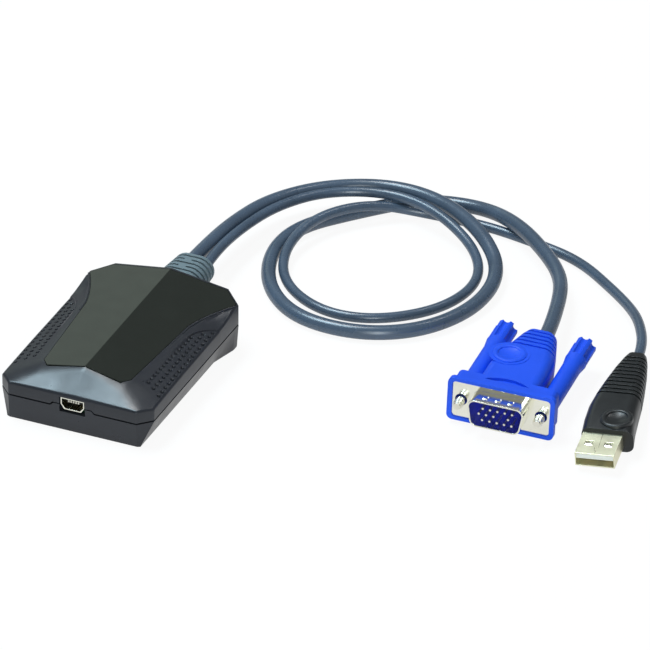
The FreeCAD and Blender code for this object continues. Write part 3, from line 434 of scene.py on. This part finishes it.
def block(name, half, front, rear, low, high):
    """Upright box that is even about the middle plane."""
    outline = ((-half, front), (half, front), (half, rear), (-half, rear))
    return prism(name, outline, lambda x, y: low, high)


def cut_away(item, cutters):
    """Cut closed shapes from a mesh and drop the shapes."""
    for cutter in cutters:
        change = item.modifiers.new("Cut", "BOOLEAN")
        change.operation = "DIFFERENCE"
        change.solver = "EXACT"
        change.object = cutter
    bpy.context.view_layer.update()
    result = bpy.data.meshes.new_from_object(item.evaluated_get(bpy.context.evaluated_depsgraph_get()))
    item.modifiers.clear()
    item.data = result
    for cutter in cutters:
        bpy.data.objects.remove(cutter)


def smooth(item, angle):
    item.data.polygons.foreach_set("use_smooth", [True] * len(item.data.polygons))
    item.data.set_sharp_from_angle(angle=math.radians(angle))


# Cover's mesh: a grid that is closer at the outer edge and over the pits
NEAR_EDGE = np.array((0.0, 0.05, 0.12, 0.22, 0.36, 0.52, 0.72))
PIT_GRID = 0.16
middle_columns = np.concatenate([np.arange(0.0, 16.5, 0.75), np.arange(16.5, 24.2, PIT_GRID)])
right_columns = np.concatenate([middle_columns, OUT_HALF - NEAR_EDGE[::-1]]) / OUT_HALF
columns = np.concatenate([-right_columns[:0:-1], right_columns])
rows = np.concatenate([
    OUT_FRONT + NEAR_EDGE,
    np.arange(OUT_FRONT + 0.95, -27.0, 0.4),
    np.arange(-27.0, 17.0, PIT_GRID),
    np.arange(17.0, OUT_REAR - 0.9, 0.3),
    OUT_REAR - NEAR_EDGE[::-1],
])
grid_y = np.repeat(rows[:, None], len(columns), axis=1)
grid_x = columns[None, :] * half_outline(rows)[:, None]
grid_z = cover_height(grid_x, grid_y)
cover_points = np.stack([grid_x, grid_y, grid_z], axis=-1).reshape(-1, 3).tolist()
numbers = np.arange(grid_z.size).reshape(grid_z.shape)
corners = [numbers[:-1, :-1], numbers[:-1, 1:], numbers[1:, 1:], numbers[1:, :-1]]
cover_faces = np.stack(corners, axis=-1).reshape(-1, 4).tolist()
border = np.concatenate([numbers[0], numbers[1:, -1], numbers[-1, -2::-1], numbers[-2:0:-1, 0]]).tolist()

# Cover's walls, drawn in at the foot for the groove along the parting line
GROOVE_HEIGHT = 0.5
GROOVE_INSET = 0.976
upper = border
for height, inset in ((PARTING + GROOVE_HEIGHT, 1.0), (PARTING, GROOVE_INSET)):
    start = len(cover_points)
    rim = [cover_points[index] for index in border]
    cover_points += [(x * inset, y * inset, height) for x, y, z in rim]
    lower = range(start, start + len(border))
    cover_faces += band(lower, upper)
    upper = lower
cover_faces.append(tuple(reversed(upper)))
cover = mesh_object("cover_shell", cover_points, cover_faces, housing_mat)

# Panel's outline, right half, from the front end of the ridge to the middle of the rear edge
panel_half = [(0.0, RIDGE_FRONT), (12.15, -27.4), (14.4, -24.6)]
for y in np.linspace(WAIST_Y, SWEEP_REAR, 13):
    panel_half.append((float(np.polyval(PANEL_SWEEP, y)), float(y)))
panel_half += [(PANEL_REAR_HALF, 29.1), (19.2, 34.3), (0.0, 34.3)]
panel_mirrored = [(-x, y) for x, y in reversed(panel_half)]


def panel_seat(x, y):
    return float(roof_height(x, y)) - PANEL_SEAT_DEPTH


# Openings of the cover: panel, inside, socket, neck of the strain relief, and seat of the tab at the socket
TAB_FOOT = 7.0
TAB_FOOT_HALF = 8.6
TAB_TOP = PARTING + 1.35
TAB_TOP_HALF = 6.45
tab_outline = (
    (-TAB_FOOT_HALF, TAB_FOOT), (TAB_FOOT_HALF, TAB_FOOT), (TAB_TOP_HALF, TAB_TOP), (-TAB_TOP_HALF, TAB_TOP),
)
tab_rings = [[(x, y, z) for x, z in tab_outline] for y in (-33.3, -37.0)]
cut_away(cover, [
    prism("PocketRight", panel_half, panel_seat, 30.0),
    prism("PocketLeft", panel_mirrored, panel_seat, 30.0),
    block("CoverRoom", half=19.4, front=-33.3, rear=33.3, low=0.0, high=12.4),
    block("SocketWindow", half=4.2, front=-37.7, rear=-31.0, low=6.4, high=11.35),
    block("NeckWindow", half=5.5, front=33.0, rear=37.0, low=7.1, high=11.7),
    loft("TabSeat", [tab_rings]),
])
smooth(cover, 32.0)
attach(cover, "adapter")
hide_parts("top_cover")


# Rounded lips: along the panel's swept edge and round the rear of the pitted field
SWEEP_LIP_RADIUS = 0.2
SWEEP_LIP_OUT = 0.42
SWEEP_LIP_SINK = 0.12
FIELD_LIP_RADIUS = 0.16
FIELD_LIP_OUT = 0.05
FIELD_LIP_SINK = 0.06


def bead(name, points, radius, look=housing_mat):
    item = tube(name, points, radius, look, steps_along=4, steps_round=4)
    item.data.use_fill_caps = True
    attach(item, "adapter")
    return item


for hand, sign in (("right", 1.0), ("left", -1.0)):
    swept = [(panel_side(y) + SWEEP_LIP_OUT, y) for y in np.linspace(6.0, 28.0, 16)]
    swept_line = [(sign * x, y, roof_height(x, y) - SWEEP_LIP_SINK) for x, y in swept]
    bead("sweep_lip_" + hand, swept_line, SWEEP_LIP_RADIUS)
    stations = (19.05, 19.2, 19.6, 20.3, 21.2, 22.2, 23.2, 24.2)
    bowed = [(x, field_rear(x) + FIELD_LIP_OUT) for x in stations]
    bowed_line = [(sign * x, y, recess_height(x, y) - FIELD_LIP_SINK) for x, y in bowed]
    bead("field_lip_" + hand, bowed_line, FIELD_LIP_RADIUS)


# Strain relief: tapered rubber sleeve whose slits leave a bridge by turns above and below
BOOT_BASE = 35.5
BOOT_END = 53.8
BOOT_MIDDLE = (-0.4, 9.4)
BOOT_BASE_SIZE = (16.4, 11.2)
BOOT_END_SIZE = (13.2, 9.0)
NECK_START = 33.4
NECK_SIZE = (10.6, 4.2)
SLIT_COUNT = 7
SLIT_LAST = 51.0
SLIT_PITCH = 2.3
SLIT_WIDTH = 0.9
SLIT_DEPTH = 2.0
SLIT_EDGE = 0.06
BRIDGE_HALF = 1.3
BRIDGE_ABOVE_X = -0.4
QUARTER_POINTS = 24


def boot_size(y):
    share = (y - BOOT_BASE) / (BOOT_END - BOOT_BASE)
    return [base + (end - base) * share for base, end in zip(BOOT_BASE_SIZE, BOOT_END_SIZE)]


def boot_section(y, inset_at, size=None):
    """Stadium across the cords: right end, top, left end and bottom; inset_at draws its points in."""
    wide, tall = size or boot_size(y)
    reach = (wide - tall) / 2.0
    ring = []
    for step in range(4 * QUARTER_POINTS):
        quarter, part = divmod(step, QUARTER_POINTS)
        share = part / QUARTER_POINTS
        sign = 1.0 if quarter < 2 else -1.0
        if quarter % 2:
            x = sign * reach * (1.0 - 2.0 * share)
            normal = (0.0, sign)
        else:
            angle = math.pi * (share - 0.5)
            x = sign * reach
            normal = (sign * math.cos(angle), sign * math.sin(angle))
        radius = tall / 2.0 - inset_at(quarter, x)
        ring.append((BOOT_MIDDLE[0] + x + radius * normal[0], y, BOOT_MIDDLE[1] + radius * normal[1]))
    return ring


def whole(quarter, x):
    return 0.0


def bridged_above(quarter, x):
    return 0.0 if quarter == 1 and abs(x - BRIDGE_ABOVE_X) < BRIDGE_HALF else SLIT_DEPTH


def bridged_below(quarter, x):
    return 0.0 if quarter == 3 and abs(x) < BRIDGE_HALF else SLIT_DEPTH


boot_rings = [
    boot_section(NECK_START, whole, NECK_SIZE),
    boot_section(BOOT_BASE, whole, NECK_SIZE),
    boot_section(BOOT_BASE, whole),
]
for from_last in range(SLIT_COUNT - 1, -1, -1):
    slit_start = SLIT_LAST - SLIT_PITCH * from_last
    slit_end = slit_start + SLIT_WIDTH
    slit = bridged_above if from_last % 2 else bridged_below
    boot_rings.append(boot_section(slit_start, whole))
    boot_rings.append(boot_section(slit_start + SLIT_EDGE, slit))
    boot_rings.append(boot_section(slit_end - SLIT_EDGE, slit))
    boot_rings.append(boot_section(slit_end, whole))
for from_end, inset in ((0.9, 0.0), (0.55, 0.08), (0.25, 0.3), (0.0, 0.8)):
    boot_rings.append(boot_section(BOOT_END - from_end, lambda quarter, x: inset))
boot = loft("boot_sleeve", [boot_rings], boot_mat)
smooth(boot, 38.0)
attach(boot, "adapter")
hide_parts("cable_boot")


# Plug details, each in its plug's own frame
def turn(degrees, axis):
    return Matrix.Rotation(math.radians(degrees), 4, axis)


VIDEO_PLUG = (
    Matrix.Translation(Vector((115.8, 17.3, 7.85)) * MM)
    @ turn(3.67, "Z") @ turn(1.81, "Y")
)
USB_PLUG = (
    Matrix.Translation(Vector((149.81, 7.35, 1.8)) * MM)
    @ turn(7.66, "Z") @ turn(3.4, "X") @ turn(-3.98, "Y")
)


def detail(item, place, body, slot):
    item.data.transform(place)
    smooth(item, 40.0)
    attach(item, body)
    return item


def turned(name, profile, centre, look, steps=72):
    """Ring turned from a closed profile of radius and height."""
    points = []
    rings = []
    for step in range(steps):
        angle = 2.0 * math.pi * step / steps
        rings.append(range(len(points), len(points) + len(profile)))
        points += [(centre[0] + r * math.cos(angle), centre[1] + r * math.sin(angle), z) for r, z in profile]
    faces = []
    for step in range(steps):
        faces += band(rings[step], rings[step - 1])
    return mesh_object(name, points, faces, look)


def rim_profile(inner, outer, level, rise):
    """Rounded rim between two radii, with its foot sunk in the grip."""
    arc = [math.pi * step / 8.0 for step in range(9)]
    middle = (inner + outer) / 2.0
    top = [(middle + (outer - inner) / 2.0 * math.cos(a), level + rise * math.sin(a)) for a in arc]
    return top + [(inner, level - 0.9), (outer, level - 0.4)]


# Posts under the cover, over the screws of the lower half
POST_X = 16.8
POST_Y = 28.5
POST_BORE = 1.0
POST_RADIUS = 3.0
POST_FOOT = PARTING + 0.05
POST_TOP = 12.5
post_profile = (
    (POST_BORE, POST_FOOT), (POST_RADIUS, POST_FOOT), (POST_RADIUS, POST_TOP), (POST_BORE, POST_TOP),
)
post_places = ((POST_X, POST_Y), (-POST_X, POST_Y), (POST_X, -POST_Y), (-POST_X, -POST_Y))
for count, place in enumerate(post_places):
    post = turned(f"cover_post_{count}", post_profile, place, housing_mat, 32)
    detail(post, Matrix(), "adapter", "housing")

# Thumb rings on the two grips
hood_profile = rim_profile(inner=3.5, outer=5.0, level=6.66, rise=0.22)
hood_rim = turned("hood_rim", hood_profile, (-4.4, 20.5), blue_mat)
grip_profile = rim_profile(inner=3.2, outer=4.7, level=6.86, rise=0.28)
grip_rim = turned("grip_rim", grip_profile, (3.0, 16.4), grip_mat)

# Thread of a thumbscrew; its profile is radius and shift along the screw
SCREW_X = 12.5
THREAD_TURNS = 6
TURN_STEPS = 24
THREAD_PITCH = 0.48
THREAD_START = -3.5
THREAD_PROFILE = ((1.38, -0.18), (1.5, 0.0), (1.38, 0.18))


def thread(name, centre_x, look):
    """Helical ridge on the bare end of a thumbscrew's stud."""
    rings = []
    for step in range(THREAD_TURNS * TURN_STEPS + 1):
        angle = 2.0 * math.pi * step / TURN_STEPS
        y = THREAD_START + THREAD_PITCH * step / TURN_STEPS
        rings.append([
            (centre_x + radius * math.cos(angle), y + shift, radius * math.sin(angle))
            for radius, shift in THREAD_PROFILE
        ])
    return loft(name, [rings], look)


# Windows of the flat plug
WINDOW_X = 2.95
LEAF_Y = 5.6
LEAF_HALF = 1.05
LEAF_FOOT = 4.12
LEAF_EDGE = 4.18
LEAF_CROWN = 0.24


def crowned_leaf(name, centre_x, look):
    """Sprung leaf that shows in a window of the flat plug."""
    left = centre_x - LEAF_HALF
    right = centre_x + LEAF_HALF
    rings = []
    for share in np.linspace(1.0, -1.0, 17):
        y = LEAF_Y + LEAF_HALF * share
        top = LEAF_EDGE + LEAF_CROWN * (1.0 - share * share)
        rings.append([(left, y, LEAF_FOOT), (right, y, LEAF_FOOT), (right, y, top), (left, y, top)])
    return loft(name, [rings], look)


# Folded seam along the upper face of the flat plug, with its small dovetail; its dark bead is painted shade
# in the seam's crack
SEAM_HEIGHT = 4.44
SEAM_RADIUS = 0.09
SEAM_LINE = (
    (0.05, 11.0), (0.4, 3.6), (0.4, 3.5), (0.3, 3.5), (-0.6, 3.5), (-0.7, 3.5), (-0.7, 3.4), (-0.5, 1.9),
    (-0.4, 1.8), (0.0, 1.8), (0.0, 1.7), (0.0, 0.3),
)
seam_points = [USB_PLUG @ (Vector((x, y, SEAM_HEIGHT)) * MM) / MM for x, y in SEAM_LINE]
shell_seam = bead("shell_seam", seam_points, SEAM_RADIUS, seam_shade_mat)

# Contacts of the mini socket; a tip's profile is depth and height
TIP_PITCH = 0.8
TIP_HALF = 0.22
TIP_PROFILE = ((-33.6, 9.25), (-34.1, 9.25), (-34.35, 9.5), (-34.35, 10.0), (-34.15, 10.3), (-33.6, 10.3))


def sprung_tips(name, look):
    """Contact tips of the mini socket, bent round the front of its tongue."""
    tips = []
    for step in (-2, -1, 0, 1, 2):
        sides = (TIP_PITCH * step + TIP_HALF, TIP_PITCH * step - TIP_HALF)
        tips.append([[(x, y, z) for y, z in TIP_PROFILE] for x in sides])
    return loft(name, tips, look)


detail(sprung_tips("socket_tips", pin_mat), Matrix(), "adapter", "gold_contact")
video_details = [
    detail(hood_rim, VIDEO_PLUG, "adapter", "royal_blue"),
    detail(thread("stud_thread_left", -SCREW_X, pin_mat), VIDEO_PLUG, "thumbscrew_left", "bright_metal"),
    detail(thread("stud_thread_right", SCREW_X, pin_mat), VIDEO_PLUG, "thumbscrew_right", "bright_metal"),
]
usb_details = [
    detail(grip_rim, USB_PLUG, "adapter", "grip_black"),
    detail(crowned_leaf("window_leaf_left", -WINDOW_X, pin_mat), USB_PLUG, "adapter", "bright_metal"),
    detail(crowned_leaf("window_leaf_right", WINDOW_X, pin_mat), USB_PLUG, "adapter", "bright_metal"),
    shell_seam,
]
cord("video_lead", "vga_cord", VGA_ROUTE, diameter=4.6)
cord("usb_lead", "usb_cord", USB_ROUTE, diameter=3.2)


# Floor, light and white surroundings
FLOOR_GLOW_SHARE = 0.9
FLOOR_MIRRORED = 0.75
FLOOR_SEEN = 1.02
WORLD_LIGHT = 0.2


def seen(tree):
    """1 for rays from the camera and for mirror-like or see-through bounces."""
    path = tree.nodes.new("ShaderNodeLightPath")
    total = path.outputs["Is Camera Ray"]
    for ray in ("Is Glossy Ray", "Is Transmission Ray"):
        node = tree.nodes.new("ShaderNodeMath")
        node.operation = "MAXIMUM"
        tree.links.new(total, node.inputs[0])
        tree.links.new(path.outputs[ray], node.inputs[1])
        total = node.outputs["Value"]
    return total


floor_mesh = bpy.data.meshes.new("Floor")
floor_mesh.from_pydata([(-6, -6, 0), (6, -6, 0), (6, 6, 0), (-6, 6, 0)], [], [(0, 1, 2, 3)])
floor = bpy.data.objects.new("Floor", floor_mesh)
scene.collection.objects.link(floor)
floor.location.z = -0.0002
floor_mat = bpy.data.materials.new("FloorWhite")
floor_mat.use_nodes = True
floor_tree = floor_mat.node_tree
floor_shader = floor_tree.nodes["Principled BSDF"]
floor_shader.inputs["Base Color"].default_value = (0.9, 0.9, 0.9, 1.0)
floor_shader.inputs["Roughness"].default_value = 0.9
floor_mix = floor_tree.nodes.new("ShaderNodeMixShader")
floor_share = floor_tree.nodes.new("ShaderNodeMath")
floor_share.operation = "MULTIPLY"
floor_share.inputs[1].default_value = FLOOR_GLOW_SHARE
floor_tree.links.new(seen(floor_tree), floor_share.inputs[0])
floor_tree.links.new(floor_share.outputs["Value"], floor_mix.inputs["Fac"])
floor_tree.links.new(floor_shader.outputs["BSDF"], floor_mix.inputs[1])
floor_glow = floor_tree.nodes.new("ShaderNodeEmission")
floor_level = floor_tree.nodes.new("ShaderNodeMapRange")
floor_level.inputs["To Min"].default_value = FLOOR_MIRRORED
floor_level.inputs["To Max"].default_value = FLOOR_SEEN
floor_tree.links.new(floor_tree.nodes.new("ShaderNodeLightPath").outputs["Is Camera Ray"],
                     floor_level.inputs["Value"])
floor_tree.links.new(floor_level.outputs["Result"], floor_glow.inputs["Strength"])
floor_tree.links.new(floor_glow.outputs["Emission"], floor_mix.inputs[2])
floor_tree.links.new(floor_mix.outputs["Shader"], floor_tree.nodes["Material Output"].inputs["Surface"])
floor_mesh.materials.append(floor_mat)

world = bpy.data.worlds.new("World")
scene.world = world
world.use_nodes = True
world_tree = world.node_tree
backdrop = world_tree.nodes["Background"]
backdrop.inputs["Color"].default_value = (1.0, 1.0, 1.0, 1.0)
world_level = world_tree.nodes.new("ShaderNodeMapRange")
world_level.inputs["To Min"].default_value = WORLD_LIGHT
world_level.inputs["To Max"].default_value = 1.0
world_tree.links.new(world_tree.nodes.new("ShaderNodeLightPath").outputs["Is Camera Ray"],
                     world_level.inputs["Value"])
world_tree.links.new(world_level.outputs["Result"], backdrop.inputs["Strength"])


def lamp(name, place, aim, size, power, colour):
    light = bpy.data.lights.new(name, "AREA")
    light.shape = "RECTANGLE"
    light.size, light.size_y = size
    light.energy = power
    light.color = colour
    item = bpy.data.objects.new(name, light)
    scene.collection.objects.link(item)
    item.location = place
    item.rotation_euler = (Vector(aim) - Vector(place)).to_track_quat("-Z", "Y").to_euler()


lamp("Overhead", place=(-0.46, 0.04, 1.2), aim=(0.02, 0.0, 0.0), size=(0.5, 0.5), power=11.4,
     colour=(0.66, 0.88, 1.0))
lamp("TopSpot", place=(-0.32, 0.38, 1.15), aim=(0.02, -0.02, 0.0), size=(0.26, 0.26), power=3.2,
     colour=(1.0, 1.0, 1.0))
lamp("RimSpot", place=(0.24, 0.68, 1.2), aim=(0.02, 0.02, 0.0), size=(0.2, 0.2), power=1.25,
     colour=(1.0, 1.0, 1.0))
lamp("BackCard", place=(-0.66, 0.92, 0.5), aim=(0.0, 0.0, 0.0), size=(0.5, 0.3), power=0.3,
     colour=(0.84, 1.0, 0.86))
lamp("Fill", place=(0.55, -1.05, 0.5), aim=(0.06, 0.06, 0.0), size=(0.3, 0.95), power=7.2,
     colour=(0.9, 0.98, 1.0))
